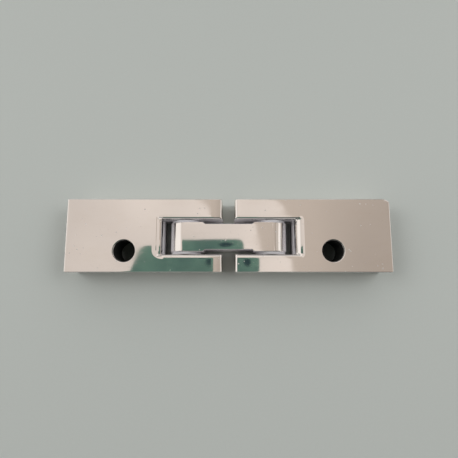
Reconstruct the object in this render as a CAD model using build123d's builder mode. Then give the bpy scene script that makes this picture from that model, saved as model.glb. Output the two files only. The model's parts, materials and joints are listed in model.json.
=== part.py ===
"""Double-pivot shower door hinge: two forked blocks joined by a dog-bone link on two cross pins.

It lies flat with both blocks and the link in line. The origin is at the centre of its underside, +X runs
from the left block to the right one, +Y towards the wider arm of each fork and +Z up through the thickness.
"""

import os

from build123d import *

# Blocks

BLOCK_LENGTH = 72.2
BLOCK_WIDTH = 34.0
THICKNESS = 15.0
ARM_TIP_GAP = 5.6  # between the arm tips of the two blocks
UPPER_ARM_WIDTH = 9.6
LOWER_ARM_WIDTH = 8.3
EDGE_CHAMFER = 0.35  # edges of the two long sides
END_ROUND = 0.6  # outer end of a block, top and bottom
ARM_TIP_ROUND = 1.3  # top and bottom edge of each arm tip
ARM_TIP_CORNER_ROUND = 0.4  # upright inner edge of each arm tip
POCKET_SIDE_ROUND = 1.1  # edge between an arm's top and its inner wall
POCKET_BACK_ROUND = 2.7  # edge between a block's top and the fork's back wall

KNOCK_ALONG = 2.8  # the knocked corner of the right block, along each of its edges
KNOCK_ACROSS = 1.5
KNOCK_DOWN = 4.0

# Glass fixing hole of each block

FIXING_HOLE_RADIUS = 5.0
FIXING_HOLE_FROM_END = 27.0
FIXING_HOLE_FROM_EDGE = 9.8
HOLE_MOUTH_CHAMFER = 0.55

# Link

PIVOT_SPACING = 40.0
LINK_BACK_GAP = 3.1  # between a barrel and the fork's back wall
SHOULDER_REACH = 8.2  # from a pivot to where the link narrows
WAIST_RELIEF = 0.9  # the waist is narrower by this on each side
SHOULDER_RUN = 1.0  # the slant between barrel width and waist width
LINK_EDGE_CHAMFER = 0.35

# Pins, bushes and washers

PIN_RADIUS = 3.0
PIN_END_RECESS = 0.3  # below the block's long sides
PIN_END_CHAMFER = 0.5
PIN_GROOVE_DEPTH = 0.3  # where a grub screw seats
BUSH_WALL = 1.0
GREASE_SPACE = 2.6  # between the two bushes of a barrel
BUSH_CHAMFER = 0.25
WASHER_THICKNESS = 1.0
WASHER_INSET = 0.5  # a washer's rim is this far inside the barrel's

# Grub screws in the back face

GRUB_SCREW_RADIUS = 2.0
GRUB_SCREW_RECESS = 0.35
GRUB_TIP_CHAMFER = 0.7
SOCKET_ACROSS_FLATS = 2.0
SOCKET_DEPTH = 1.8

# Clearances

RUNNING_CLEARANCE = 0.05  # radial, pin in bush and pin in washer
WASHER_PLAY = 0.15  # along the pin, between a washer and its arm
SCREW_CLEARANCE = 0.04  # radial, and under the tip
CUT_ALLOWANCE = 1.0  # how far a cut runs past the faces that it opens
SAME_SPOT = 0.01  # two sizes or positions closer than this are the same

# Worked out from the sizes above

MID_HEIGHT = THICKNESS / 2
HALF_WIDTH = BLOCK_WIDTH / 2
ARM_TIP_X = ARM_TIP_GAP / 2
BLOCK_END_X = ARM_TIP_X + BLOCK_LENGTH
PIVOT_X = PIVOT_SPACING / 2
BARREL_RADIUS = MID_HEIGHT
POCKET_BACK_X = PIVOT_X + BARREL_RADIUS + LINK_BACK_GAP
POCKET_TOP_Y = HALF_WIDTH - UPPER_ARM_WIDTH
POCKET_BOTTOM_Y = LOWER_ARM_WIDTH - HALF_WIDTH
POCKET_WIDTH = POCKET_TOP_Y - POCKET_BOTTOM_Y
LINK_Y = (POCKET_TOP_Y + POCKET_BOTTOM_Y) / 2
LINK_WIDTH = POCKET_WIDTH - 2 * (WASHER_THICKNESS + WASHER_PLAY)
WAIST_WIDTH = LINK_WIDTH - 2 * WAIST_RELIEF
SHOULDER_X = PIVOT_X - SHOULDER_REACH
HOLE_X = BLOCK_END_X - FIXING_HOLE_FROM_END
HOLE_Y = FIXING_HOLE_FROM_EDGE - HALF_WIDTH
BUSH_INNER_RADIUS = PIN_RADIUS + RUNNING_CLEARANCE
BUSH_OUTER_RADIUS = BUSH_INNER_RADIUS + BUSH_WALL
BUSH_LENGTH = (LINK_WIDTH - GREASE_SPACE) / 2
WASHER_RADIUS = BARREL_RADIUS - WASHER_INSET
PIN_HALF_LENGTH = HALF_WIDTH - PIN_END_RECESS
UPPER_ARM_Y = HALF_WIDTH - UPPER_ARM_WIDTH / 2
LOWER_ARM_Y = LOWER_ARM_WIDTH / 2 - HALF_WIDTH
GROOVE_RADIUS = PIN_RADIUS - PIN_GROOVE_DEPTH
GROOVE_WIDTH = 2 * (GRUB_SCREW_RADIUS - GRUB_TIP_CHAMFER + PIN_GROOVE_DEPTH + SCREW_CLEARANCE)
GRUB_TIP_Z = MID_HEIGHT - GROOVE_RADIUS - SCREW_CLEARANCE
GRUB_LENGTH = GRUB_TIP_Z - GRUB_SCREW_RECESS


def write(piece, name):
    """Label a finished piece and write it as parts/NAME.step."""
    piece.part.label = name
    export_step(piece.part, f"parts/{name}.step")


os.makedirs("parts", exist_ok=True)

# The space of the fork, as a solid. Where it meets the two faces it flares out, at the back wall and along
# the arms: each profile is the open space with a slab over either face, and the inner corners are rounded.

with BuildPart() as pocket:
    with BuildSketch(Plane.XZ) as back_profile:
        with Locations((0, MID_HEIGHT)):
            Rectangle(2 * POCKET_BACK_X, THICKNESS + 2 * CUT_ALLOWANCE)
        with Locations((0, -CUT_ALLOWANCE / 2), (0, THICKNESS + CUT_ALLOWANCE / 2)):
            Rectangle(2 * BLOCK_END_X, CUT_ALLOWANCE)
        back_corners = back_profile.vertices().filter_by(
            lambda corner: abs(abs(corner.X) - POCKET_BACK_X) < SAME_SPOT
            and -SAME_SPOT < corner.Y < THICKNESS + SAME_SPOT
        )
        fillet(back_corners, POCKET_BACK_ROUND)
    extrude(amount=BLOCK_WIDTH, both=True)
    with BuildSketch(Plane.YZ) as side_profile:
        with Locations((LINK_Y, MID_HEIGHT)):
            Rectangle(POCKET_WIDTH, THICKNESS + 2 * CUT_ALLOWANCE)
        with Locations((LINK_Y, -CUT_ALLOWANCE / 2), (LINK_Y, THICKNESS + CUT_ALLOWANCE / 2)):
            Rectangle(BLOCK_WIDTH, CUT_ALLOWANCE)
        side_corners = side_profile.vertices().filter_by(
            lambda corner: abs(abs(corner.X - LINK_Y) - POCKET_WIDTH / 2) < SAME_SPOT
            and -SAME_SPOT < corner.Y < THICKNESS + SAME_SPOT
        )
        fillet(side_corners, POCKET_SIDE_ROUND)
    extrude(amount=BLOCK_END_X, both=True, mode=Mode.INTERSECT)

# A block as it is made: its side outline pulled across the width, then the fork, the fixing hole, the two
# pin bores and the two grub screw holes. This one is the right-hand block, before any wear.

with BuildPart() as fork_block:
    with BuildSketch(Plane.XZ) as side_outline:
        with Locations((ARM_TIP_X + BLOCK_LENGTH / 2, MID_HEIGHT)):
            Rectangle(BLOCK_LENGTH, THICKNESS)
        fillet(side_outline.vertices().group_by(Axis.X)[0], ARM_TIP_ROUND)
        fillet(side_outline.vertices().group_by(Axis.X)[-1], END_ROUND)
    extrude(amount=HALF_WIDTH, both=True)
    long_sides = fork_block.faces().filter_by(Axis.Y)
    chamfer(long_sides.edges(), EDGE_CHAMFER)
    add(pocket.part, mode=Mode.SUBTRACT)
    with BuildSketch(Plane.XY) as tip_corners:
        for wall_y, into_arm in ((POCKET_TOP_Y, 1), (POCKET_BOTTOM_Y, -1)):
            with Locations((ARM_TIP_X, wall_y)):
                Rectangle(2 * ARM_TIP_CORNER_ROUND, 2 * ARM_TIP_CORNER_ROUND)
            with Locations((ARM_TIP_X + ARM_TIP_CORNER_ROUND, wall_y + into_arm * ARM_TIP_CORNER_ROUND)):
                Circle(ARM_TIP_CORNER_ROUND, mode=Mode.SUBTRACT)
    extrude(amount=THICKNESS, mode=Mode.SUBTRACT)
    with BuildSketch(Plane.XY) as fixing_hole:
        with Locations((HOLE_X, HOLE_Y)):
            Circle(FIXING_HOLE_RADIUS)
    extrude(amount=THICKNESS, mode=Mode.SUBTRACT)
    hole_mouths = fork_block.edges().filter_by(
        lambda edge: edge.geom_type == GeomType.CIRCLE and abs(edge.radius - FIXING_HOLE_RADIUS) < SAME_SPOT
    )
    chamfer(hole_mouths, HOLE_MOUTH_CHAMFER)
    with BuildSketch(Plane.XZ) as pin_bore:
        with Locations((PIVOT_X, MID_HEIGHT)):
            Circle(PIN_RADIUS)
    extrude(amount=BLOCK_WIDTH, both=True, mode=Mode.SUBTRACT)
    with BuildSketch(Plane.XY) as screw_holes:
        with Locations((PIVOT_X, UPPER_ARM_Y), (PIVOT_X, LOWER_ARM_Y)):
            Circle(GRUB_SCREW_RADIUS + SCREW_CLEARANCE)
    extrude(amount=MID_HEIGHT, mode=Mode.SUBTRACT)

# The left block is the mirror image. The right one has a knocked corner, far from the link: the corner is
# cut off by the plane through a point on each of its three edges.

with BuildPart() as left_block:
    mirror(fork_block.part, about=Plane.YZ)
write(left_block, "left_block")

along_end = Vector(BLOCK_END_X, HALF_WIDTH - KNOCK_ACROSS, THICKNESS)
along_side = Vector(BLOCK_END_X - KNOCK_ALONG, HALF_WIDTH, THICKNESS)
down_corner = Vector(BLOCK_END_X, HALF_WIDTH, THICKNESS - KNOCK_DOWN)
knock_outward = (along_side - down_corner).cross(along_end - down_corner)
knock_plane = Plane(origin=down_corner, z_dir=knock_outward)

with BuildPart() as right_block:
    add(fork_block.part)
    split(bisect_by=knock_plane, keep=Keep.BOTTOM)
write(right_block, "right_block")

# The link: a bar with a round barrel at each end, slightly narrower between the shoulders

with BuildPart() as link:
    with BuildSketch(Plane.XZ.offset(-LINK_Y)):
        with Locations((0, MID_HEIGHT)):
            SlotCenterToCenter(PIVOT_SPACING, THICKNESS)
    extrude(amount=LINK_WIDTH / 2, both=True)
    with BuildSketch(Plane((0, LINK_Y, 0))):
        with BuildLine():
            Polyline(
                (-SHOULDER_X, LINK_WIDTH / 2),
                (SHOULDER_RUN - SHOULDER_X, WAIST_WIDTH / 2),
                (SHOULDER_X - SHOULDER_RUN, WAIST_WIDTH / 2),
                (SHOULDER_X, LINK_WIDTH / 2),
                close=True,
            )
        make_face()
        mirror(about=Plane.XZ)
    extrude(amount=THICKNESS, mode=Mode.SUBTRACT)
    rim_edges = link.edges().filter_by(Axis.Y, reverse=True).filter_by(Axis.Z, reverse=True)
    chamfer(rim_edges, LINK_EDGE_CHAMFER)
    with BuildSketch(Plane.XZ):
        with Locations((-PIVOT_X, MID_HEIGHT), (PIVOT_X, MID_HEIGHT)):
            Circle(BUSH_OUTER_RADIUS)
    extrude(amount=BLOCK_WIDTH, both=True, mode=Mode.SUBTRACT)
write(link, "link")

# What turns and holds at each pivot. Pins, bushes and washers are turned pieces: half a section spun round
# the pivot.

for side, pivot_x in (("left", -PIVOT_X), ("right", PIVOT_X)):
    pivot_axis = Axis((pivot_x, 0, MID_HEIGHT), (0, 1, 0))

    with BuildPart() as pin:
        with BuildSketch(Plane((pivot_x, 0, MID_HEIGHT))) as half_section:
            with Locations((PIN_RADIUS / 2, 0)):
                Rectangle(PIN_RADIUS, 2 * PIN_HALF_LENGTH)
            chamfer(half_section.vertices().group_by(Axis.X)[-1], PIN_END_CHAMFER)
            with Locations((PIN_RADIUS, UPPER_ARM_Y), (PIN_RADIUS, LOWER_ARM_Y)):
                Rectangle(2 * PIN_GROOVE_DEPTH, GROOVE_WIDTH, mode=Mode.SUBTRACT)
        revolve(axis=pivot_axis)
    write(pin, f"{side}_pin")

    for arm, outward, arm_y in (("upper", 1, UPPER_ARM_Y), ("lower", -1, LOWER_ARM_Y)):
        barrel_face_y = LINK_Y + outward * LINK_WIDTH / 2

        with BuildPart() as bush:
            bush_y = barrel_face_y - outward * BUSH_LENGTH / 2
            with BuildSketch(Plane((pivot_x, bush_y, MID_HEIGHT))) as half_section:
                with Locations((BUSH_INNER_RADIUS + BUSH_WALL / 2, 0)):
                    Rectangle(BUSH_WALL, BUSH_LENGTH)
                chamfer(half_section.vertices().group_by(Axis.X)[0], BUSH_CHAMFER)
            revolve(axis=pivot_axis)
        write(bush, f"{side}_{arm}_bush")

        with BuildPart() as washer:
            washer_y = barrel_face_y + outward * WASHER_THICKNESS / 2
            with BuildSketch(Plane((pivot_x, washer_y, MID_HEIGHT))):
                with Locations(((BUSH_INNER_RADIUS + WASHER_RADIUS) / 2, 0)):
                    Rectangle(WASHER_RADIUS - BUSH_INNER_RADIUS, WASHER_THICKNESS)
            revolve(axis=pivot_axis)
        write(washer, f"{side}_{arm}_washer")

        with BuildPart() as grub_screw:
            with BuildSketch(Plane((pivot_x, arm_y, GRUB_SCREW_RECESS))):
                Circle(GRUB_SCREW_RADIUS)
            extrude(amount=GRUB_LENGTH)
            chamfer(grub_screw.edges().sort_by(Axis.Z)[-1], GRUB_TIP_CHAMFER)
            with BuildSketch(Plane((pivot_x, arm_y, GRUB_SCREW_RECESS))):
                RegularPolygon(SOCKET_ACROSS_FLATS / 2, 6, major_radius=False)
            extrude(amount=SOCKET_DEPTH, mode=Mode.SUBTRACT)
        write(grub_screw, f"{side}_{arm}_grub_screw")
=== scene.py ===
# %% [markdown]
# # A double-pivot shower door hinge in polished metal
# The hinge is two forked blocks and a dog-bone link between them, with a pin, two bushes and two washers at
# each pivot. Its solids come from the CAD model, in metres and in the right place. They carry the shape, so
# the work here is the finish: polished metal is only as good as what it mirrors, so the lights, the dark card
# and the small unevenness of the faces get most of the attention.

import json
import math

import bpy
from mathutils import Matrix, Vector


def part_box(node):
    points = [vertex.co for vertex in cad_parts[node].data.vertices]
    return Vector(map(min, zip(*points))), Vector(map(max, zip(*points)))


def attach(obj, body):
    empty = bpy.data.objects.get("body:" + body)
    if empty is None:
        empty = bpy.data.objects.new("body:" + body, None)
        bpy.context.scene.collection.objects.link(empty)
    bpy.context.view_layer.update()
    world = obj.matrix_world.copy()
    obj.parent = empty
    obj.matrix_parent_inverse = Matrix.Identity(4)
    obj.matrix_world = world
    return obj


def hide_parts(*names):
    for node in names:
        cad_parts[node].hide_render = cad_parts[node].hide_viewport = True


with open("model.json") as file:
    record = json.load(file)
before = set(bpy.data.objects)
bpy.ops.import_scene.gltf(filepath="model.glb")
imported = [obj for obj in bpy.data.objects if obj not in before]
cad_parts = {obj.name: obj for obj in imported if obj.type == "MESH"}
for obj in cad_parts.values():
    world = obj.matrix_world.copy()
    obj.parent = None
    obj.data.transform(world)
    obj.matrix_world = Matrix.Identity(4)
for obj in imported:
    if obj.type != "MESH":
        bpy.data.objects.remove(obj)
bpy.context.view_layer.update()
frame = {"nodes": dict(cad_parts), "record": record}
bpy.ops.object.select_all(action="DESELECT")
MM = 0.001
SIGN = {"left": -1, "right": 1}

# %% [markdown]
# ## The camera
# The photograph looks down on the hinge from about 17 cm above it. The lens is a phone's, 67 degrees across a
# square picture: through it the walls and the ends of the blocks show as much as they do in the photograph.
# The camera stands a little in front of the hinge, so it leans a few degrees from straight down.

# %% Camera
PICTURE = 458  # pixels across
FOCAL_PIXELS = 344
SENSOR = 36.0
CAMERA_PLACE = (0.2, -18.4, 172.0)
CAMERA_LEAN = 7.7

bpy.ops.object.camera_add(location=[v * MM for v in CAMERA_PLACE],
                          rotation=(math.radians(CAMERA_LEAN), 0.0, 0.0))
camera = bpy.context.object
camera.name = "camera"
camera.data.sensor_width = SENSOR
camera.data.lens = SENSOR * FOCAL_PIXELS / PICTURE
camera.data.clip_start = 1 * MM
camera.data.clip_end = 50.0
bpy.context.scene.camera = camera
bpy.context.scene.view_settings.view_transform = "Standard"
print("lens in mm:", round(camera.data.lens, 2))

# %% [markdown]
# ## Shader sums in plain Python
# A finish is mostly sums: a distance from an edge, a mask, a faint wave. With one node placed for each plus
# and times, such a tree is hard to read. A small class that holds a socket and answers to Python's own
# operators adds the Math nodes itself, and the sum reads as a sum.

# %% Numbers that change over a surface
def put(tree, socket, value):
    """Links a field or a socket to this socket, or sets its value."""
    if isinstance(value, Field):
        value = value.socket
    if isinstance(value, bpy.types.NodeSocket):
        tree.links.new(value, socket)
    else:
        socket.default_value = value


class Field:
    """A number that changes over a surface."""

    def __init__(self, tree, socket):
        self.tree, self.socket = tree, socket

    def math(self, operation, *terms):
        node = self.tree.nodes.new("ShaderNodeMath")
        node.operation = operation
        for socket, term in zip(node.inputs, terms):
            put(self.tree, socket, term)
        return Field(self.tree, node.outputs[0])

    def __add__(self, other):
        return self.math("ADD", self, other)

    def __radd__(self, other):
        return self.math("ADD", other, self)

    def __sub__(self, other):
        return self.math("SUBTRACT", self, other)

    def __rsub__(self, other):
        return self.math("SUBTRACT", other, self)

    def __mul__(self, other):
        return self.math("MULTIPLY", self, other)

    def __truediv__(self, other):
        return self.math("DIVIDE", self, other)

    def __neg__(self):
        return self.math("MULTIPLY", self, -1.0)

    def __abs__(self):
        return self.math("ABSOLUTE", self)

    def sqrt(self):
        return self.math("SQRT", self)

    def sine(self):
        return self.math("SINE", self)

    def at_least(self, other):
        return self.math("MAXIMUM", self, other)

    def at_most(self, other):
        return self.math("MINIMUM", self, other)

    def is_above(self, other):
        return self.math("GREATER_THAN", self, other)

    def is_below(self, other):
        return self.math("LESS_THAN", self, other)

    def rise(self, start, end):
        """0 before start, 1 after end and a soft step between them. End may be below start."""
        node = self.tree.nodes.new("ShaderNodeMapRange")
        node.interpolation_type = "SMOOTHSTEP"
        flip = end < start
        put(self.tree, node.inputs["Value"], self)
        node.inputs["From Min"].default_value = min(start, end)
        node.inputs["From Max"].default_value = max(start, end)
        node.inputs["To Min"].default_value = 1.0 if flip else 0.0
        node.inputs["To Max"].default_value = 0.0 if flip else 1.0
        return Field(self.tree, node.outputs["Result"])


# %% [markdown]
# ## One place that makes nodes
# Every finish starts from the same few things: a shader, the place on the piece in millimetres and a few
# textures. A class keeps them together. Its one method takes the node's type, then its settings, then its
# sockets, in that order, because some sockets only appear once a setting is made.

# %% The finish maker
def shaded(colour, factor):
    """The same colour, lighter or darker."""
    return tuple(v * factor for v in colour)


class Finish:
    """A node tree in the making. The place on the piece is in millimetres, in the hinge's own frame."""

    def __init__(self, tree):
        self.tree = tree
        tree.nodes.clear()

    def add(self, kind, settings=None, sockets=None):
        node = self.tree.nodes.new(kind)
        for name, value in (settings or {}).items():
            setattr(node, name, value)
        for name, value in (sockets or {}).items():
            socket = next(s for s in node.inputs if s.enabled and name in (s.name, s.identifier))
            put(self.tree, socket, value)
        return node

    def field(self, node, name=None):
        """The number that a node gives."""
        socket = next(s for s in node.outputs if s.enabled and name in (None, s.name))
        return Field(self.tree, socket)

    def colour(self, node):
        """The colour or vector that a node gives."""
        return next(s for s in node.outputs if s.enabled)

    def parts(self, vector):
        """The three numbers of a vector."""
        split = self.add("ShaderNodeSeparateXYZ", None, {"Vector": vector})
        return [self.field(split, axis) for axis in "XYZ"]

    def blend(self, share, first, second):
        """The first colour where share is 0 and the second where it is 1."""
        colours = {"A": first if not isinstance(first, tuple) else (*first, 1.0),
                   "B": second if not isinstance(second, tuple) else (*second, 1.0)}
        return self.colour(self.add("ShaderNodeMix", {"data_type": "RGBA"}, {"Factor": share, **colours}))

    def stretched(self, vector, scale=(1, 1, 1), turn=(0, 0, 0), centre=(0, 0, 0)):
        """The same place with its axes scaled and turned, for a pattern that runs one way."""
        return self.colour(self.add("ShaderNodeMapping", None,
                                    {"Vector": vector, "Location": centre, "Rotation": turn, "Scale": scale}))

    def noise(self, vector, per_mm, detail=2.0, rough=0.5):
        node = self.add("ShaderNodeTexNoise", {"noise_dimensions": "3D"},
                        {"Vector": vector, "Scale": per_mm, "Detail": detail, "Roughness": rough})
        return self.field(node)

    def spots(self, vector, per_mm):
        """The distance to the nearest of many scattered points."""
        node = self.add("ShaderNodeTexVoronoi", {"voronoi_dimensions": "3D", "feature": "F1"},
                        {"Vector": vector, "Scale": per_mm, "Randomness": 1.0})
        return self.field(node, "Distance")


def start_finish(name):
    """A new material with its shader, the place in millimetres and its three numbers."""
    material = bpy.data.materials.new(name)
    material.use_nodes = True
    finish = Finish(material.node_tree)
    finish.material = material
    place = finish.add("ShaderNodeTexCoord")
    finish.place = finish.stretched(place.outputs["Object"], scale=(1000, 1000, 1000))
    finish.x, finish.y, finish.z = finish.parts(finish.place)
    finish.normal = place.outputs["Normal"]
    finish.facing = finish.parts(finish.normal)
    finish.shader = finish.add("ShaderNodeBsdfPrincipled")
    finish.out = finish.add("ShaderNodeOutputMaterial", None, {"Surface": finish.shader.outputs["BSDF"]})
    return finish


def set_height(finish, height, tilt=None):
    """Bends the shading by a height in millimetres, and by a sideways tilt where one is given."""
    bump = finish.add("ShaderNodeBump", None, {"Height": height, "Distance": MM, "Strength": 1.0})
    if tilt is not None:
        sideways = finish.colour(finish.add("ShaderNodeCombineXYZ", None, {"X": tilt[0], "Y": tilt[1]}))
        tilted = finish.add("ShaderNodeVectorMath", {"operation": "ADD"}, {"Vector": finish.normal})
        put(finish.tree, tilted.inputs[1], sideways)
        turned = finish.add("ShaderNodeVectorTransform",
                            {"vector_type": "NORMAL", "convert_from": "OBJECT", "convert_to": "WORLD"},
                            {"Vector": tilted.outputs[0]})
        put(finish.tree, bump.inputs["Normal"], turned.outputs[0])
    put(finish.tree, finish.shader.inputs["Normal"], bump.outputs["Normal"])


# %% [markdown]
# ## The floor
# The hinge lies on a plain pale sheet. It is an ordinary matt surface, so it takes the soft shadow that shows
# that the hinge touches it. Its colour is written as it should look, and the lamps are set so that it does.
# It is clear from below, so that the hinge's underside can be looked at too, and it lies a hair above that
# underside, so that the two don't share a plane.

# %% Floor
FLOOR_COLOUR = (0.675, 0.705, 0.665)
FLOOR_SIZE = 6.0  # metres
FLOOR_HEIGHT = 0.02

bpy.ops.mesh.primitive_plane_add(size=FLOOR_SIZE, location=(0.0, 0.0, FLOOR_HEIGHT * MM))
floor = bpy.context.object
floor.name = "floor"
floor_finish = start_finish("pale_sheet")
grain = floor_finish.noise(floor_finish.place, 0.9, detail=3.0)
floor_finish.shader.inputs["Roughness"].default_value = 0.9
floor_finish.shader.inputs["Specular IOR Level"].default_value = 0.2
put(floor_finish.tree, floor_finish.shader.inputs["Base Color"],
    floor_finish.blend(grain.rise(0.2, 0.8), shaded(FLOOR_COLOUR, 0.985), FLOOR_COLOUR))
from_below = floor_finish.field(floor_finish.add("ShaderNodeNewGeometry"), "Backfacing")
clear = floor_finish.add("ShaderNodeBsdfTransparent")
sheet = floor_finish.add("ShaderNodeMixShader", None, {
    "Fac": from_below, "Shader": floor_finish.shader.outputs["BSDF"], "Shader_001": clear.outputs[0]})
put(floor_finish.tree, floor_finish.out.inputs["Surface"], sheet.outputs[0])
floor.data.materials.append(floor_finish.material)
print("floor at z =", floor.location.z)

# %% [markdown]
# ## The room round the hinge
# A mirror finish shows its surroundings, so the surroundings are painted in the world's shader by direction.
# Straight above is a warm grey ceiling, lighter to the left than to the right, because the photograph's metal
# is. Round it lies a ring that the rounded edges pick up as thin lines: bright at the back and at the left,
# tan at the right and dark at the front. Lower down are banded walls, a bright strip near the floor and the
# floor itself. Matt surfaces see a plainer room, dim straight above and in front, so that deep holes and gaps
# stay dark and the shadow falls to the front.

# %% World colours
CEILING_LEFT = (0.745, 0.675, 0.625)
CEILING_RIGHT = (0.525, 0.455, 0.400)
BRIGHT_SIDE = (1.02, 0.965, 0.925)
TAN_SIDE = (0.60, 0.54, 0.49)
DARK_FRONT = (0.075, 0.098, 0.092)
WALL = (0.50, 0.475, 0.455)
LOW_LEFT = (0.95, 0.92, 0.89)
LOW_RIGHT = (0.72, 0.70, 0.68)
FAR_LIGHT = (0.50, 0.485, 0.475)
FAR_DARK = (0.115, 0.115, 0.120)
SOFT_ABOVE = (0.012, 0.014, 0.012)
SOFT_RING = (0.88, 0.88, 0.88)
SOFT_BELOW = (0.60, 0.60, 0.60)

# %% Where the room's parts begin and end
# slopes from straight up, sideways or backwards
HALVES_MEET = (0.092, 0.101)
TAN_BEGINS, TAN_ENDS = (0.25, 0.34), (1.35, 1.55)
RING_LEFT, RING_BACK, RING_RIGHT = (-0.32, -0.85), (0.30, 0.38), (0.50, 0.60)
# heights, from -1 straight below to 1 straight above
FAR_WALLS = (0.74, 0.58)
SIDE_WALL = (0.30, 0.25)
LOW_STRIP = (0.16, 0.10)
FLOOR_EDGE = (0.01, -0.03)
SOFT_RING_TOP, SOFT_RING_FOOT = (0.84, 0.74), (0.05, 0.20)
SOFT_FLOOR_EDGE = (-0.02, -0.05)
FRONT_DIMMING = 0.85
FLOOR_IN_MIRROR = 0.82

# %% World
world = bpy.data.worlds.new("studio")
bpy.context.scene.world = world
world.use_nodes = True
room = Finish(world.node_tree)
direction = room.add("ShaderNodeTexCoord").outputs["Generated"]
to_right, to_back, upwards = room.parts(direction)
above = upwards.at_least(0.02)
slope_right = to_right / above
slope_back = to_back / above

# the ceiling, whose two halves meet in a line with a slight bend
drift = room.noise(direction, 2.2, detail=2.0) - 0.5
bend = slope_back.rise(0.218, 0.252) * 0.026 + slope_back * 0.13
ceiling_left = room.blend((drift + 0.42 + slope_right + slope_back * 0.6).rise(0.2, 0.7),
                          shaded(CEILING_LEFT, 0.93), shaded(CEILING_LEFT, 1.23))
ceiling_right = room.blend((drift * 2.0 + slope_right * 2.0).rise(-0.1, 1.0),
                           shaded(CEILING_RIGHT, 1.12), shaded(CEILING_RIGHT, 0.86))
ceiling = room.blend((slope_right + bend + drift * 0.01).rise(*HALVES_MEET), ceiling_left, ceiling_right)

# the ring, bright, tan and bright again from left to right, with its dark front
ring = room.blend(slope_right.rise(*TAN_BEGINS), BRIGHT_SIDE, TAN_SIDE)
ring = room.blend(slope_right.rise(*TAN_ENDS), ring, BRIGHT_SIDE)
front = (-to_back).rise(0.10, 0.16) * (abs(to_right) + to_back).rise(0.10, -0.02)
ring = room.blend(front, ring, DARK_FRONT)
outside = slope_right.rise(*RING_LEFT).at_least(slope_back.rise(*RING_BACK))
outside = outside.at_least(slope_right.rise(*RING_RIGHT)).at_least(front)
mirrored = room.blend(outside, ceiling, ring)

# far walls at the back and in front, lighter above and darker below, with dark upright bands
sideways = abs(to_right).rise(0.42, 0.62)
far_bands = room.noise(room.stretched(direction, scale=(1, 1, 0.08)), 3.4, detail=1.5).rise(0.46, 0.60)
far = room.blend(upwards.rise(0.18, 0.62) * (1.0 - far_bands * 0.75), FAR_DARK, FAR_LIGHT)
mirrored = room.blend(upwards.rise(*FAR_WALLS) * (1.0 - sideways), mirrored, far)

# the lower wall, the bright strip and the floor
bands = room.noise(room.stretched(direction, scale=(1, 1, 0.12)), 2.6, detail=1.0).rise(0.50, 0.64)
wall = room.blend(bands * 0.9, WALL, shaded(WALL, 0.25))
mirrored = room.blend(upwards.rise(*SIDE_WALL) * to_right.rise(-0.5, -0.2), mirrored, wall)
low_strip = room.blend(to_right.rise(0.05, 0.35), LOW_LEFT, LOW_RIGHT)
mirrored = room.blend(upwards.rise(*LOW_STRIP), mirrored, low_strip)
mirrored = room.blend(upwards.rise(*FLOOR_EDGE), mirrored, shaded(FLOOR_COLOUR, FLOOR_IN_MIRROR))

# the plainer room that matt surfaces see
ring_share = upwards.rise(*SOFT_RING_TOP) * upwards.rise(*SOFT_RING_FOOT)
front_share = (-to_back).rise(0.15, 0.55)
soft = room.blend(ring_share * (1.0 - front_share * FRONT_DIMMING), SOFT_ABOVE, SOFT_RING)
soft = room.blend(upwards.rise(*SOFT_FLOOR_EDGE), soft, SOFT_BELOW)

light_path = room.add("ShaderNodeLightPath")
is_camera = room.field(light_path, "Is Camera Ray")
is_glossy = room.field(light_path, "Is Glossy Ray")
seen = room.blend(is_glossy, soft, mirrored)
seen = room.blend(is_camera, seen, FLOOR_COLOUR)
background = room.add("ShaderNodeBackground", None, {"Color": seen, "Strength": 1.0})
room.add("ShaderNodeOutputWorld", None, {"Surface": background.outputs[0]})
print("world nodes:", len(world.node_tree.nodes))

# %% [markdown]
# ## Two soft lamps
# The photograph's shadow is soft and lies close along the near edge. Two large soft lamps stand to the left
# and the right, a little behind the hinge and about fifty degrees up. From there hardly any of their light
# falls straight down the fixing holes or into the narrow gaps behind the link. The metal doesn't mirror them,
# because the ring in the world is there for that.

# %% Lamps
LAMP_PLACE = (0.40, 0.12, 0.50)  # metres, for the right one
LAMP_SIZE = 0.34
LAMP_ENERGY = 0.74

for side, sign in SIGN.items():
    lamp_place = Vector((sign * LAMP_PLACE[0], *LAMP_PLACE[1:]))
    bpy.ops.object.light_add(type="AREA", location=lamp_place)
    lamp = bpy.context.object
    lamp.name = f"{side}_soft_lamp"
    lamp.data.shape = "DISK"
    lamp.data.size = LAMP_SIZE
    lamp.data.energy = LAMP_ENERGY
    lamp.rotation_euler = lamp_place.to_track_quat("Z", "Y").to_euler()
    lamp.visible_glossy = False
    print(lamp.name, "at", [round(v, 2) for v in lamp_place])

# %% [markdown]
# ## The dark card
# Polished metal in a pale room looks like plastic. Studios hang a dark card over it, so that part of the face
# mirrors something dark and the eye reads metal. Here it is a dark green-grey card level with the camera,
# with rounded corners, faint streaks and two darker patches. Only mirror rays see it.

# %% Card
CARD_HEIGHT = 172.0
CARD_CORNERS = [(-70.0, -16.0), (-59.0, 11.5), (13.5, 11.5), (13.5, -70.0), (-92.0, -70.0)]
CARD_ROUND = 5.5
PATCHES = (  # centre and reach, across and along
    (-2.6, 6.6, 8.8, 2.6),
    (2.6, -3.2, 3.8, 5.2),
)
CARD_DARK, CARD_LIGHT = (0.092, 0.165, 0.140), (0.126, 0.222, 0.178)
STREAK_COLOUR = (0.070, 0.120, 0.112)
PATCH_COLOUR = (0.030, 0.055, 0.060)

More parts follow.
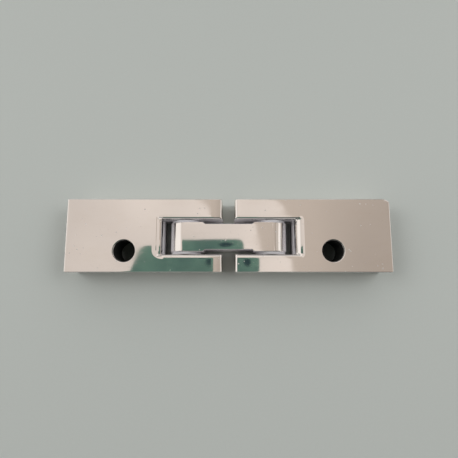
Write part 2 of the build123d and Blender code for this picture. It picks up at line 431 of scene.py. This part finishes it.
bpy.ops.mesh.primitive_circle_add(vertices=len(CARD_CORNERS), radius=1.0, fill_type="NGON")
card = bpy.context.object
card.name = "dark_card"
for corner, (x, y) in zip(card.data.vertices, CARD_CORNERS):
    corner.co = (x * MM, y * MM, CARD_HEIGHT * MM)
bpy.ops.object.mode_set(mode="EDIT")
bpy.ops.mesh.select_all(action="SELECT")
bpy.ops.mesh.bevel(offset=CARD_ROUND * MM, segments=6, affect="VERTICES")
bpy.ops.object.mode_set(mode="OBJECT")

card_finish = start_finish("dark_card")
card_finish.tree.nodes.remove(card_finish.shader)
ragged = card_finish.noise(card_finish.place, 0.16, detail=3.0) - 0.5
patch = 0.0
for centre_x, centre_y, reach_x, reach_y in PATCHES:
    patch_x, patch_y = (card_finish.x - centre_x) / reach_x, (card_finish.y - centre_y) / reach_y
    patch = ((patch_x * patch_x + patch_y * patch_y).sqrt() + ragged * 0.7).rise(1.05, 0.5).at_least(patch)
cloud = card_finish.noise(card_finish.place, 0.05, detail=2.0).rise(0.3, 0.7)
streaks = card_finish.noise(card_finish.stretched(card_finish.place, scale=(0.5, 1.6, 1.0)), 0.14, detail=3.0,
                            rough=0.6).rise(0.48, 0.72)
shade = card_finish.blend(cloud, CARD_DARK, CARD_LIGHT)
shade = card_finish.blend(streaks * 0.55, shade, STREAK_COLOUR)
shade = card_finish.blend(patch, shade, PATCH_COLOUR)
glow = card_finish.add("ShaderNodeEmission", None, {"Color": shade, "Strength": 1.0})
put(card_finish.tree, card_finish.out.inputs["Surface"], glow.outputs[0])
card.data.materials.append(card_finish.material)
for ray in ("camera", "diffuse", "transmission", "volume_scatter", "shadow"):
    setattr(card, f"visible_{ray}", False)
print("card corners:", len(card.data.vertices))

# %% [markdown]
# ## Smooth copies of the CAD pieces
# The CAD pieces come as loose flat triangles. On matt plastic nobody would see them, but a mirror shows each
# one. So each piece is copied and its triangles are merged. A few cuts close to the corners keep the shading
# of a corner from running along the long rounds beside it. The large flat areas are marked as strong, so that
# weighted normals keep them exactly flat and let the narrow rounds beside them take up the whole turn. The
# copy hangs from the same body as the CAD piece, and the CAD piece is hidden. The copy stands for the CAD
# piece, which keeps its place in the simulation.

# %% Smooth copies
MERGE_WITHIN = 0.0005
SHARP_ANGLE = 50.0
LARGE_AREA = 30.0  # square mm
OUTER_CUT, HOLE_SIDE = 16.0, 34.0  # a cut within the first stays off what lies past the second
BLOCK_CUTS = {"y": (16.4, 8.45, 7.35, -8.65, -9.75, -16.4), "x": (4.2, 30.5, 33.2, 74.3)}
LINK_CUT_X, LINK_CUT_INSET = 16.0, 0.45

node_body = {node: body for body, nodes in frame["record"]["behaviour"]["bodies"].items() for node in nodes}


def flat_regions(mesh):
    """The triangles that lie in a large plane square to one of the axes."""
    planes = {}
    for face in mesh.polygons:
        if max(abs(part) for part in face.normal) > 0.99999:
            plane = tuple(round(part) for part in face.normal), round(face.center.dot(face.normal) / MM, 2)
            planes.setdefault(plane, []).append(face)
    return [face for faces in planes.values() for face in faces
            if sum(part.area for part in faces) > LARGE_AREA * MM * MM]


def cut_rounds(mesh, axis, place):
    """Cuts the narrow rounds across an axis. The flat areas and the fixing holes stay whole."""
    flat = {face.index for face in flat_regions(mesh)}
    for face in mesh.polygons:
        near_hole = abs(place) < OUTER_CUT and abs(face.center.x) > HOLE_SIDE * MM and axis == "y"
        face.select = face.index not in flat and not near_hole
    across = [float(axis == letter) for letter in "xyz"]
    bpy.ops.object.mode_set(mode="EDIT")
    bpy.ops.mesh.bisect(plane_co=[place * MM * part for part in across], plane_no=across)
    bpy.ops.object.mode_set(mode="OBJECT")


def smooth_copy(node, name, cuts=()):
    """A merged copy of a CAD node, shaded as one smooth piece with flat faces kept flat."""
    bpy.ops.object.select_all(action="DESELECT")
    source = frame["nodes"][node]
    source.select_set(True)
    bpy.context.view_layer.objects.active = source
    bpy.ops.object.duplicate()
    piece = bpy.context.object
    for key in [k for k in piece.keys() if k.startswith("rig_")]:
        del piece[key]
    piece.parent = None
    piece.name = name
    piece.data.name = name
    bpy.ops.object.mode_set(mode="EDIT")
    bpy.ops.mesh.select_all(action="SELECT")
    bpy.ops.mesh.remove_doubles(threshold=MERGE_WITHIN * MM)
    bpy.ops.mesh.select_mode(type="FACE")
    bpy.ops.object.mode_set(mode="OBJECT")
    for axis, place in cuts:
        cut_rounds(piece.data, axis, place)
    bpy.ops.object.shade_smooth_by_angle(angle=math.radians(SHARP_ANGLE), keep_sharp_edges=False)
    bpy.ops.object.mode_set(mode="EDIT")
    bpy.ops.mesh.select_mode(type="FACE")
    bpy.ops.mesh.select_all(action="SELECT")
    bpy.ops.mesh.mod_weighted_strength(set=True, face_strength="WEAK")
    bpy.ops.mesh.select_all(action="DESELECT")
    bpy.ops.object.mode_set(mode="OBJECT")
    flat = flat_regions(piece.data)
    for face in flat:
        face.select = True
    bpy.ops.object.mode_set(mode="EDIT")
    bpy.ops.mesh.mod_weighted_strength(set=True, face_strength="STRONG")
    bpy.ops.object.mode_set(mode="OBJECT")
    print(node, "flat triangles:", len(flat), "of", len(piece.data.polygons))
    weighted = piece.modifiers.new("flat faces stay flat", "WEIGHTED_NORMAL")
    weighted.mode = "FACE_AREA"
    weighted.use_face_influence = True
    weighted.keep_sharp = True
    bpy.ops.object.modifier_apply(modifier=weighted.name)
    piece.data.materials.clear()
    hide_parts(node)
    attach(piece, node_body[node])
    return piece


link_low, link_high = (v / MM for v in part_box("link"))
metal = {}
for side, sign in SIGN.items():
    cuts = [("y", v) for v in BLOCK_CUTS["y"]] + [("x", sign * v) for v in BLOCK_CUTS["x"]]
    metal[f"{side}_block"] = smooth_copy(f"{side}_block", f"{side}_block_polished", cuts)
metal["link"] = smooth_copy("link", "link_polished", [
    ("x", -LINK_CUT_X), ("x", LINK_CUT_X),
    ("y", link_low.y + LINK_CUT_INSET), ("y", link_high.y - LINK_CUT_INSET)])

# %% [markdown]
# ## How a polished face is uneven
# A face that was ground and then held against a buffing wheel isn't a perfect plane. It rolls off a little
# towards its edges, most of all at the rim of the fork, and each block lies a few degrees out of level on its
# pivot. None of that changes the outline, so it is a height that bends the shading: a long slope for the
# lean, and a curve near each rim that is steepest at the rim.

# %% The rolled edge
def roll_off(distance, reach, steepness):
    """A height that falls away within reach of a rim: level at first, then steeper and on at that slope."""
    past = (reach - distance).at_least(0.0)
    bent = past.at_most(reach)
    beyond = (past - reach).at_least(0.0)
    return -(bent * bent * (steepness / (2 * reach)) + beyond * steepness)


def outside_distance(across, along):
    """How far a place is outside a rectangle, from its distances past the rectangle's sides."""
    out_across, out_along = across.at_least(0.0), along.at_least(0.0)
    outer = (out_across * out_across + out_along * out_along).sqrt()
    return outer + across.at_least(along).at_most(0.0)


# %% [markdown]
# ## Marks in the polish
# Up close the metal has very fine hairlines from cleaning, soft smears where a cloth left a film, a few tiny
# pits in the plating and a little dust on the faces that look up. They are all far weaker than they first
# seem: at arm's length only the specks on a dark reflection and the softened edge of a reflection show. The
# insides of the holes and of the fork never met the wheel, so the metal there is rough and unpolished. Deep
# in the holes and low on the fork's closed end it is also painted near-black, as shade.

# %% Polished metal
WARM_CHROME = (0.865, 0.835, 0.805)
FILM_CHROME = (0.835, 0.795, 0.755)
PIT_COLOUR = (0.36, 0.33, 0.31)
# painted shade: the near-black colour of the hole walls and of the fork's lower closed end
BORE_PAINTED_SHADE = (0.030, 0.030, 0.028)
WALL_COLOUR = (0.93, 0.90, 0.92)
DUST_COLOUR = (0.72, 0.69, 0.64)
DUST_STRENGTH = 0.65
POLISH_ROUGHNESS, WALL_ROUGHNESS, MOST_ROUGHNESS = 0.045, 0.34, 0.75
# depths in mm
WAVE_HEIGHT, GRIT_HEIGHT, PIT_DEPTH = 0.030, 0.012, 0.008
WIPE_DEPTH, CROSS_WIPE_DEPTH = 0.00012, 0.0001


def polished_metal(name, lean, rim_height, satin_walls, dull_and_painted_shade=None, tilt=None):
    """Polished metal with its lean, its rolled rims, the walls that got less polish and the marks of use."""
    finish = start_finish(name)
    film = finish.noise(finish.stretched(finish.place, scale=(0.5, 1.0, 1.0), turn=(0, 0, 0.5)), 0.09,
                        detail=4.0, rough=0.6).rise(0.42, 0.72)
    wipes = finish.noise(finish.stretched(finish.place, scale=(0.035, 1.0, 1.0), turn=(0, 0, 0.16)), 1.9,
                         detail=3.0, rough=0.65).rise(0.52, 0.80)
    cross_wipes = finish.noise(finish.stretched(finish.place, scale=(1.0, 0.05, 1.0), turn=(0, 0, -0.4)), 1.5,
                               detail=3.0, rough=0.65).rise(0.58, 0.85)
    pit_size = finish.noise(finish.place, 0.35, detail=1.0).rise(0.50, 0.72)
    pits = finish.spots(finish.place, 0.42).rise(0.115, 0.045) * pit_size
    colour = finish.blend(film * 0.6, WARM_CHROME, FILM_CHROME)
    colour = finish.blend(pits * 0.30, colour, PIT_COLOUR)
    rough = POLISH_ROUGHNESS + film * 0.045 + wipes * 0.035 + cross_wipes * 0.025 + pits * 0.25
    satin = satin_walls(finish)
    colour = finish.blend(satin, colour, WALL_COLOUR)
    rough = rough + satin * (WALL_ROUGHNESS + film * 0.08)
    metallic = 1.0 - satin
    dusty = finish.stretched(finish.place, centre=(4.7, 1.9, 0.0))
    dust_size = finish.noise(dusty, 0.16, detail=2.0).rise(0.36, 0.68)
    dust = (finish.spots(dusty, 0.40) - dust_size * 0.14).rise(0.03, 0.0) * dust_size.rise(0.05, 0.3)
    dust = dust * finish.facing[2].rise(0.3, 0.8) * DUST_STRENGTH
    colour = finish.blend(dust, colour, DUST_COLOUR)
    rough = rough + dust * 0.5
    metallic = metallic - dust * 0.8
    # painted shade: the unpolished places turn rougher, less metallic and darker, down to near-black deep
    # inside
    if dull_and_painted_shade is not None:
        dull_and_shade = dull_and_painted_shade(finish)
        colour = finish.blend(dull_and_shade, colour, BORE_PAINTED_SHADE)
        rough = rough + dull_and_shade * 0.5
        metallic = metallic - dull_and_shade * 0.7
    put(finish.tree, finish.shader.inputs["Base Color"], colour)
    put(finish.tree, finish.shader.inputs["Roughness"], rough.at_most(MOST_ROUGHNESS))
    put(finish.tree, finish.shader.inputs["Metallic"], metallic.at_least(0.0))
    waves = finish.noise(finish.place, 0.055, detail=1.0) * WAVE_HEIGHT
    upper_face = finish.facing[2].rise(0.2, 0.6)
    leaning = (finish.x * -lean[0] + finish.y * -lean[1]) * upper_face
    grit = finish.noise(finish.place, 3.2, detail=2.0) * satin * GRIT_HEIGHT
    marks = wipes * WIPE_DEPTH + cross_wipes * CROSS_WIPE_DEPTH + pits * PIT_DEPTH
    height = leaning + rim_height(finish) + waves + grit - marks
    set_height(finish, height, tilt(finish, upper_face) if tilt else None)
    return finish.material


# %% [markdown]
# ## The two blocks
# Each block has four outer edges, the rim of its fork and one fixing hole. The fork's rim is rolled hardest
# at its closed end, where the wheel could reach over it, and the left fork has a turned-up lip round its
# lower corner. The same functions make both blocks, each with its own rolled edges and the small lean that
# the photograph's reflections show. A roll is given by its reach in mm and by its slope at the edge.

# %% Sizes of the blocks' finish
block_low, block_high = (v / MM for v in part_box("right_block"))
HALF_BLOCK = block_high.y
BLOCK_TIP, BLOCK_END = block_low.x, block_high.x
TOP = block_high.z
FORK_BACK, FORK_MIDDLE, FORK_HALF = 30.6, -0.65, 8.05
FORK_BACK_ROUND, FORK_SIDE_ROUND = 2.7, 1.1
HOLE_CENTRE, HOLE_RADIUS = (48.0, -7.2), 5.0
KNOCK = (2.8, 1.5)  # the right block's knocked corner, along the two edges
KNOCK_RUN = KNOCK[0] * KNOCK[1] / math.hypot(*KNOCK)
LEAN = {"left": (0.065, 0.010), "right": (-0.045, 0.010)}

RIM_CORNER = {"left": 2.9, "right": 1.5}
SIDE_ROLL, LONG_EDGE_ROLL, END_ROLL = (1.2, 0.06), (0.6, 0.13), (1.6, 0.10)
TIP_ROLL = {"left": (5.4, 0.10), "right": (2.9, 0.09)}
LEFT_BACK_ROLL, LEFT_BACK_LEVEL = (1.9, 0.78), -2.8
RIGHT_BACK_ROLL = (1.83, 0.218)
HOLE_ROLL, HOLE_MARGIN = (0.5, 1.0), 0.05
KNOCK_ROLL = (0.5, 0.95)
LINE_TILT, BACK_LIP_TILT, SIDE_LIP_TILT = 0.20, 0.10, 0.055


# %% Finish of the blocks
def block_rims(side):
    """The rolled edges of one block, as a function that gives their height."""
    sign, corner = SIGN[side], RIM_CORNER[side]

    def height_at(finish):
        outwards = finish.x * sign
        past_back = outwards - (FORK_BACK + FORK_BACK_ROUND - corner)
        past_side = abs(finish.y - FORK_MIDDLE) - (FORK_HALF + FORK_SIDE_ROUND - corner)
        fork_edge = outside_distance(past_back, past_side) - corner
        out_back, out_side = past_back.at_least(0.0), past_side.at_least(0.0)
        behind = out_back * out_back / (out_back * out_back + out_side * out_side + 0.0001)
        inner = (past_back - past_side).is_above(0.0) * fork_edge.is_below(-corner)
        behind = behind.at_least(inner)
        fork = roll_off(fork_edge, *SIDE_ROLL) * (1.0 - behind)
        if side == "left":
            past_rim, past_wall = past_back - corner, past_side - corner
            level = past_wall.rise(0.0, -0.6) * past_rim.rise(-2.9, -2.5)
            rim_edge = past_rim.at_least(LEFT_BACK_LEVEL) + LEFT_BACK_ROLL[0]
            fork = fork - roll_off(rim_edge, *LEFT_BACK_ROLL) * level
        else:
            fork = fork + roll_off(fork_edge, *RIGHT_BACK_ROLL) * behind
        long_sides = roll_off(HALF_BLOCK - abs(finish.y), *LONG_EDGE_ROLL)
        far_end = roll_off(BLOCK_END - outwards, *END_ROLL)
        tips = roll_off(outwards - BLOCK_TIP, *TIP_ROLL[side])
        across, along = finish.x - HOLE_CENTRE[0] * sign, finish.y - HOLE_CENTRE[1]
        hole = -roll_off((across * across + along * along).sqrt() - HOLE_RADIUS - HOLE_MARGIN, *HOLE_ROLL)
        height = fork + long_sides + far_end + tips + hole
        if side == "right":
            inwards = (BLOCK_END - finish.x) / KNOCK[0] + (HALF_BLOCK - finish.y) / KNOCK[1]
            height = height + roll_off((inwards - 1.0) * KNOCK_RUN, *KNOCK_ROLL)
        return height
    return height_at


def left_fork_tilt(finish, upper_face):
    """The lip round the left fork's lower corner, as an arc, and the thin line at the fork's back."""
    corner = RIM_CORNER["left"]
    past_back = -finish.x - (FORK_BACK + FORK_BACK_ROUND - corner)
    past_side = FORK_MIDDLE - finish.y - (FORK_HALF + FORK_SIDE_ROUND - corner)
    edge = outside_distance(past_back, past_side) - corner
    out_back, out_side = past_back.at_least(0.0), past_side.at_least(0.0)
    behind = (out_back * out_back + 0.0001) / (out_back * out_back + out_side * out_side + 0.0002)
    lip = (edge - behind * 0.67).rise(1.35, 0.95) * finish.y.rise(-1.0, -4.0) * upper_face
    at_back = behind.rise(0.0, 0.7).at_least(past_side.rise(corner, corner - 0.3))
    back_lip = lip * at_back * edge.rise(-2.3, -1.9) * past_back.rise(0.0, 0.5)
    side_lip = lip * behind.rise(1.0, 0.3) * edge.rise(-0.2, 0.1) * past_back.rise(-1.0, 0.0)
    line = edge.rise(-0.28, -0.12) * edge.rise(0.14, 0.0) * past_back.rise(0.0, 0.4) * upper_face
    line = line * finish.y.rise(8.6, 8.2) * past_side.rise(0.2, 0.0)
    return line * LINE_TILT - back_lip * BACK_LIP_TILT, side_lip * SIDE_LIP_TILT


def fork_walls(finish):
    """The upright walls inside the fork, which the wheel hardly reached."""
    in_fork = abs(finish.x).rise(FORK_BACK + 0.5, FORK_BACK + 0.2)
    in_fork = in_fork * abs(finish.y - FORK_MIDDLE).rise(FORK_HALF + 0.5, FORK_HALF + 0.2)
    return in_fork * abs(finish.facing[2]).rise(0.20, 0.05)


def block_dullness_and_shade(side):
    """Where one block is unpolished and painted dark as shade: in its fixing hole and low on the fork's
    closed end.
    """
    def dull_and_shade(finish):
        across, along = finish.x - HOLE_CENTRE[0] * SIGN[side], finish.y - HOLE_CENTRE[1]
        in_hole = (across * across + along * along).sqrt().rise(HOLE_RADIUS + 0.10, HOLE_RADIUS + 0.04)
        depth = finish.z.at_most(TOP - finish.z)
        edge = finish.noise(finish.place, 0.5, detail=3.0) * 0.5
        # painted shade low on the fork's closed end, darker towards the floor
        fork_low_painted_shade = fork_walls(finish) * (finish.z + edge * 2.0).rise(8.0, 4.0)
        fork_low_painted_shade = fork_low_painted_shade * abs(finish.facing[0]).rise(0.5, 0.9)
        # in the fixing hole the painted shade starts a little below the mouth and deepens downwards
        return (in_hole * (depth + edge).rise(0.6, 1.3)).at_least(fork_low_painted_shade * 0.8)
    return dull_and_shade


for side, tilt in (("left", left_fork_tilt), ("right", None)):
    metal[f"{side}_block"].data.materials.append(
        polished_metal(f"polished_{side}_block", LEAN[side], block_rims(side), fork_walls,
                       block_dullness_and_shade(side), tilt))
print("block ends at x =", round(BLOCK_TIP, 2), round(BLOCK_END, 2))

# %% [markdown]
# ## The link
# The link got the same polish. Its rims are softer, and towards each barrel its face rises to a lip that
# catches the bright part of the room.

# %% Finish of the link
LINK_MIDDLE = (link_low.y + link_high.y) / 2
LINK_HALF = (link_high.y - link_low.y) / 2
LINK_LEAN = (0.0, -0.009)
LINK_EDGE_ROLL = (1.1, 0.07)
LIP_START = 20.0
LIP_RISE, LIP_FALL = 1.1, 1.4  # mm over which the lip's slope grows and shrinks
LIP_CURVE, LIP_SLOPE, LIP_RETURN = 0.067, 0.147, 0.0525


def link_rims(finish):
    """The link's rolled long edges and the lip at each barrel."""
    long_sides = roll_off(LINK_HALF - abs(finish.y - LINK_MIDDLE), *LINK_EDGE_ROLL)
    past = (abs(finish.x) - LIP_START).at_least(0.0)
    rising, falling = past.at_most(LIP_RISE), (past - LIP_RISE).at_least(0.0).at_most(LIP_FALL)
    return long_sides + rising * rising * LIP_CURVE + falling * LIP_SLOPE - falling * falling * LIP_RETURN


def link_walls(finish):
    """The link's long sides and the lower part of its barrels, which stay satin."""
    low_barrel = finish.z.rise(12.8, 11.6) * abs(finish.x).rise(24.2, 25.2) * 0.7
    return abs(finish.facing[1]).rise(0.80, 0.95).at_least(low_barrel)


metal["link"].data.materials.append(polished_metal("polished_link", LINK_LEAN, link_rims, link_walls))
print("link width in mm:", round(2 * LINK_HALF, 2))

# %% [markdown]
# ## Pins, bushes and washers
# Only the ends of the pins, the rims of the washers and, when the hinge swings, a little more of them show.
# The pins are ground steel with fine rings from the lathe on their ends. The washers are pale natural plastic
# with a satin rim, and the bushes are dark plastic. All three carry faint turning marks about their own axis,
# so their patterns use the distance from it.

# %% Turned pieces
PIVOT_X = {"left": -20.0, "right": 20.0}
PIVOT_Z = 7.5


def turned_finish(name, pivot_x, colours, roughness, metallic, ring_pitch, ring_height):
    """A turned surface: rings about the pivot on the ends and along the side, and a little mottling."""
    finish = start_finish(name)
    across, up = finish.x - pivot_x, finish.z - PIVOT_Z
    radius = (across * across + up * up).sqrt()
    wobble = finish.noise(finish.place, 0.6, detail=2.0)
    ends = abs(finish.facing[1]).rise(0.5, 0.8)
    path = radius * ends + finish.y * (1.0 - ends)
    rings = (path * (2 * math.pi / ring_pitch) + wobble * 1.5).sine()
    mottle = finish.noise(finish.place, 0.45, detail=4.0, rough=0.6).rise(0.3, 0.75)
    put(finish.tree, finish.shader.inputs["Base Color"], finish.blend(mottle, *colours))
    put(finish.tree, finish.shader.inputs["Roughness"], roughness + mottle * 0.12 + rings * 0.03)
    finish.shader.inputs["Metallic"].default_value = metallic
    set_height(finish, rings * ring_height + wobble * ring_height * 2)
    return finish.material


for side, pivot_x in PIVOT_X.items():
    turned = {
        "pin": turned_finish(f"ground_steel_{side}", pivot_x, ((0.60, 0.585, 0.57), (0.50, 0.485, 0.47)),
                             roughness=0.22, metallic=1.0, ring_pitch=0.28, ring_height=0.0022),
        "washer": turned_finish(f"washer_plastic_{side}", pivot_x, ((0.74, 0.72, 0.73), (0.66, 0.64, 0.66)),
                                roughness=0.30, metallic=0.0, ring_pitch=0.22, ring_height=0.0010),
        "bush": turned_finish(f"bush_plastic_{side}", pivot_x, ((0.165, 0.165, 0.175), (0.125, 0.125, 0.13)),
                              roughness=0.42, metallic=0.0, ring_pitch=0.25, ring_height=0.0012),
    }
    for kind in ("pin", "upper_washer", "lower_washer", "upper_bush", "lower_bush"):
        piece = smooth_copy(f"{side}_{kind}", f"{side}_{kind}_turned")
        piece.data.materials.append(turned[kind.split("_")[-1]])
    print(side, "pivot: pin, two washers and two bushes finished")

# %% [markdown]
# ## The grub screws
# Each pin is held by two small set screws in the back face, which only show when the hinge is turned over. A
# set screw is a short threaded rod with a hexagon socket. The rod starts as a cylinder whose end is inset and
# pushed in for the socket: six points of the inner ring go out to the hexagon's corners and the ones between
# lie on its sides. The thread is one small tooth spun round the axis in a rising helix, and the whole screw
# is modelled once, at the first place, and copied to the other three.

# %% Sizes of a grub screw
screw_low, screw_high = (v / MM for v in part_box("left_upper_grub_screw"))
SCREW_RADIUS = (screw_high.x - screw_low.x) / 2
SCREW_BOTTOM, SCREW_TOP = screw_low.z, screw_high.z
SCREW_TIP = 0.7
SCREW_SIDES = 36
THREAD_PITCH, THREAD_DEPTH = 0.7, 0.32
THREAD_START = 0.34  # above the outer end
TOOTH_FOOT, TOOTH_CREST = 0.26, 0.05  # half heights
TOOTH_SUNK, TOOTH_SHORT = 0.04, 0.02  # into the core, and short of the full radius
SOCKET_FLATS, SOCKET_DEPTH = 2.0, 1.8
SOCKET_RING, SOCKET_MOUTH = 1.30, 0.12  # radius of the flat ring's inner edge, and the mouth's width
CONE_DEPTH, CONE_SHARE = 0.35, 0.15  # at the bottom of the socket
SCREW_SHARP_ANGLE = 32
SCREW_TURN = 0.4  # radians from one screw to the next
core_radius = SCREW_RADIUS - THREAD_DEPTH
print("grub screw: radius", round(SCREW_RADIUS, 2), "length", round(SCREW_TOP - SCREW_BOTTOM, 2), "mm")


# %% A step that modelling by hand repeats
def pick_faces(piece, wanted):
    """Selects the faces that wanted() says yes to, and goes to edit mode."""
    bpy.context.view_layer.objects.active = piece
    bpy.ops.object.mode_set(mode="EDIT")
    bpy.ops.mesh.select_mode(type="FACE")
    bpy.ops.mesh.select_all(action="DESELECT")
    bpy.ops.object.mode_set(mode="OBJECT")
    for face in piece.data.polygons:
        face.select = wanted(face)
    bpy.ops.object.mode_set(mode="EDIT")


# %% The rod, its chamfered tip and its socket
bpy.ops.object.select_all(action="DESELECT")
bpy.ops.mesh.primitive_cylinder_add(vertices=SCREW_SIDES, radius=core_radius * MM,
                                    depth=(SCREW_TOP - SCREW_BOTTOM) * MM,
                                    location=(0, 0, (SCREW_TOP + SCREW_BOTTOM) / 2 * MM))
rod = bpy.context.object
bpy.ops.object.transform_apply(location=True, rotation=True, scale=True)
pick_faces(rod, lambda face: face.normal.z > 0.9)
bpy.ops.mesh.bevel(offset=(SCREW_TIP - THREAD_DEPTH) * MM, segments=1, affect="EDGES")
bpy.ops.object.mode_set(mode="OBJECT")
pick_faces(rod, lambda face: face.normal.z < -0.9)
bpy.ops.mesh.inset(thickness=(core_radius - SOCKET_RING) * MM)
bpy.ops.mesh.inset(thickness=SOCKET_MOUTH * MM)
bpy.ops.object.mode_set(mode="OBJECT")
socket_face = next(f for f in rod.data.polygons if f.select)
for index in socket_face.vertices:
    corner = rod.data.vertices[index].co
    angle = math.atan2(corner.y, corner.x)
    off_flat = (angle + math.pi / 6) % (math.pi / 3) - math.pi / 6
    reach = SOCKET_FLATS / 2 / math.cos(off_flat)
    corner.x, corner.y = reach * math.cos(angle) * MM, reach * math.sin(angle) * MM
pick_faces(rod, lambda face: face.index == socket_face.index)
bpy.ops.mesh.extrude_region_move(TRANSFORM_OT_translate={"value": (0, 0, SOCKET_DEPTH * MM)})
bpy.ops.mesh.extrude_region_move(TRANSFORM_OT_translate={"value": (0, 0, CONE_DEPTH * MM)})
bpy.ops.transform.resize(value=(CONE_SHARE, CONE_SHARE, 1.0))
bpy.ops.object.mode_set(mode="OBJECT")
print("rod faces:", len(rod.data.polygons))

# %% The thread
tooth = [(core_radius - TOOTH_SUNK, -TOOTH_FOOT), (SCREW_RADIUS - TOOTH_SHORT, -TOOTH_CREST),
         (SCREW_RADIUS - TOOTH_SHORT, TOOTH_CREST), (core_radius - TOOTH_SUNK, TOOTH_FOOT)]
bpy.ops.object.select_all(action="DESELECT")
bpy.ops.mesh.primitive_circle_add(vertices=len(tooth), radius=1.0 * MM, fill_type="NGON")
thread = bpy.context.object
thread_start = SCREW_BOTTOM + THREAD_START
for corner, (out, up) in zip(thread.data.vertices, tooth):
    corner.co = (out * MM, 0.0, (thread_start + up) * MM)
turns = int((SCREW_TOP - SCREW_TIP - thread_start) / THREAD_PITCH)
helix = thread.modifiers.new("rising turn", "SCREW")
helix.axis = "Z"
helix.angle = 2 * math.pi
helix.screw_offset = THREAD_PITCH * MM
helix.iterations = turns
helix.steps = helix.render_steps = SCREW_SIDES
helix.use_merge_vertices = False
bpy.ops.object.modifier_apply(modifier=helix.name)
bpy.ops.object.mode_set(mode="EDIT")
bpy.ops.mesh.select_all(action="SELECT")
bpy.ops.mesh.remove_doubles(threshold=MERGE_WITHIN * MM)
bpy.ops.mesh.normals_make_consistent(inside=False)
bpy.ops.object.mode_set(mode="OBJECT")
print("thread turns:", turns, "faces:", len(thread.data.polygons))

# %% One screw from both, and its copies
bpy.ops.object.select_all(action="DESELECT")
thread.select_set(True)
rod.select_set(True)
bpy.context.view_layer.objects.active = rod
bpy.ops.object.join()
bpy.ops.object.shade_smooth_by_angle(angle=math.radians(SCREW_SHARP_ANGLE), keep_sharp_edges=False)
screws = {}
for side in SIGN:
    for arm in ("upper", "lower"):
        node = f"{side}_{arm}_grub_screw"
        node_low, node_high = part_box(node)
        bpy.ops.object.select_all(action="DESELECT")
        rod.select_set(True)
        bpy.context.view_layer.objects.active = rod
        bpy.ops.object.duplicate()
        screw = bpy.context.object
        screw.name = f"{node}_threaded"
        screw.data.name = screw.name
        screw.location = ((node_low.x + node_high.x) / 2, (node_low.y + node_high.y) / 2, 0.0)
        screw.rotation_euler.z = SCREW_TURN * len(screws)
        bpy.ops.object.transform_apply(location=True, rotation=True, scale=True)
        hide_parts(node)
        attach(screw, node_body[node])
        screws[node] = screw
bpy.data.objects.remove(rod)
print("grub screws:", len(screws), "with", len(screw.data.polygons), "faces each")

# %% [markdown]
# ## Black screws
# Grub screws are blackened steel. Oil makes them satin, and the edges that a key or the tap rubbed show bare
# grey metal. The rub is found by height: the outer end and the crests of the thread are the places furthest
# from the middle of the screw.

# %% Finish of the screws
for node, screw in screws.items():
    finish = start_finish(f"black_{node}")
    node_low, node_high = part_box(node)
    centre_x, centre_y = ((node_low[i] + node_high[i]) / 2 / MM for i in (0, 1))
    across, along = finish.x - centre_x, finish.y - centre_y
    radius = (across * across + along * along).sqrt()
    mottle = finish.noise(finish.place, 2.4, detail=4.0, rough=0.65)
    end_rub = finish.z.rise(SCREW_BOTTOM + 0.10, SCREW_BOTTOM - 0.02) * radius.rise(1.0, 1.25)
    crest_rub = radius.rise(SCREW_RADIUS - 0.10, SCREW_RADIUS - 0.03)
    rub = (end_rub * 0.6 + crest_rub) * mottle.rise(0.40, 0.62)
    oil = mottle.rise(0.35, 0.7)
    black = finish.blend(oil, (0.020, 0.020, 0.021), (0.038, 0.037, 0.036))
    put(finish.tree, finish.shader.inputs["Base Color"], finish.blend(rub, black, (0.30, 0.29, 0.28)))
    put(finish.tree, finish.shader.inputs["Roughness"], 0.46 - oil * 0.14 - rub * 0.08)
    finish.shader.inputs["Metallic"].default_value = 0.85
    set_height(finish, mottle * 0.01)
    screw.data.materials.clear()
    screw.data.materials.append(finish.material)
print("screw finishes:", len(screws))
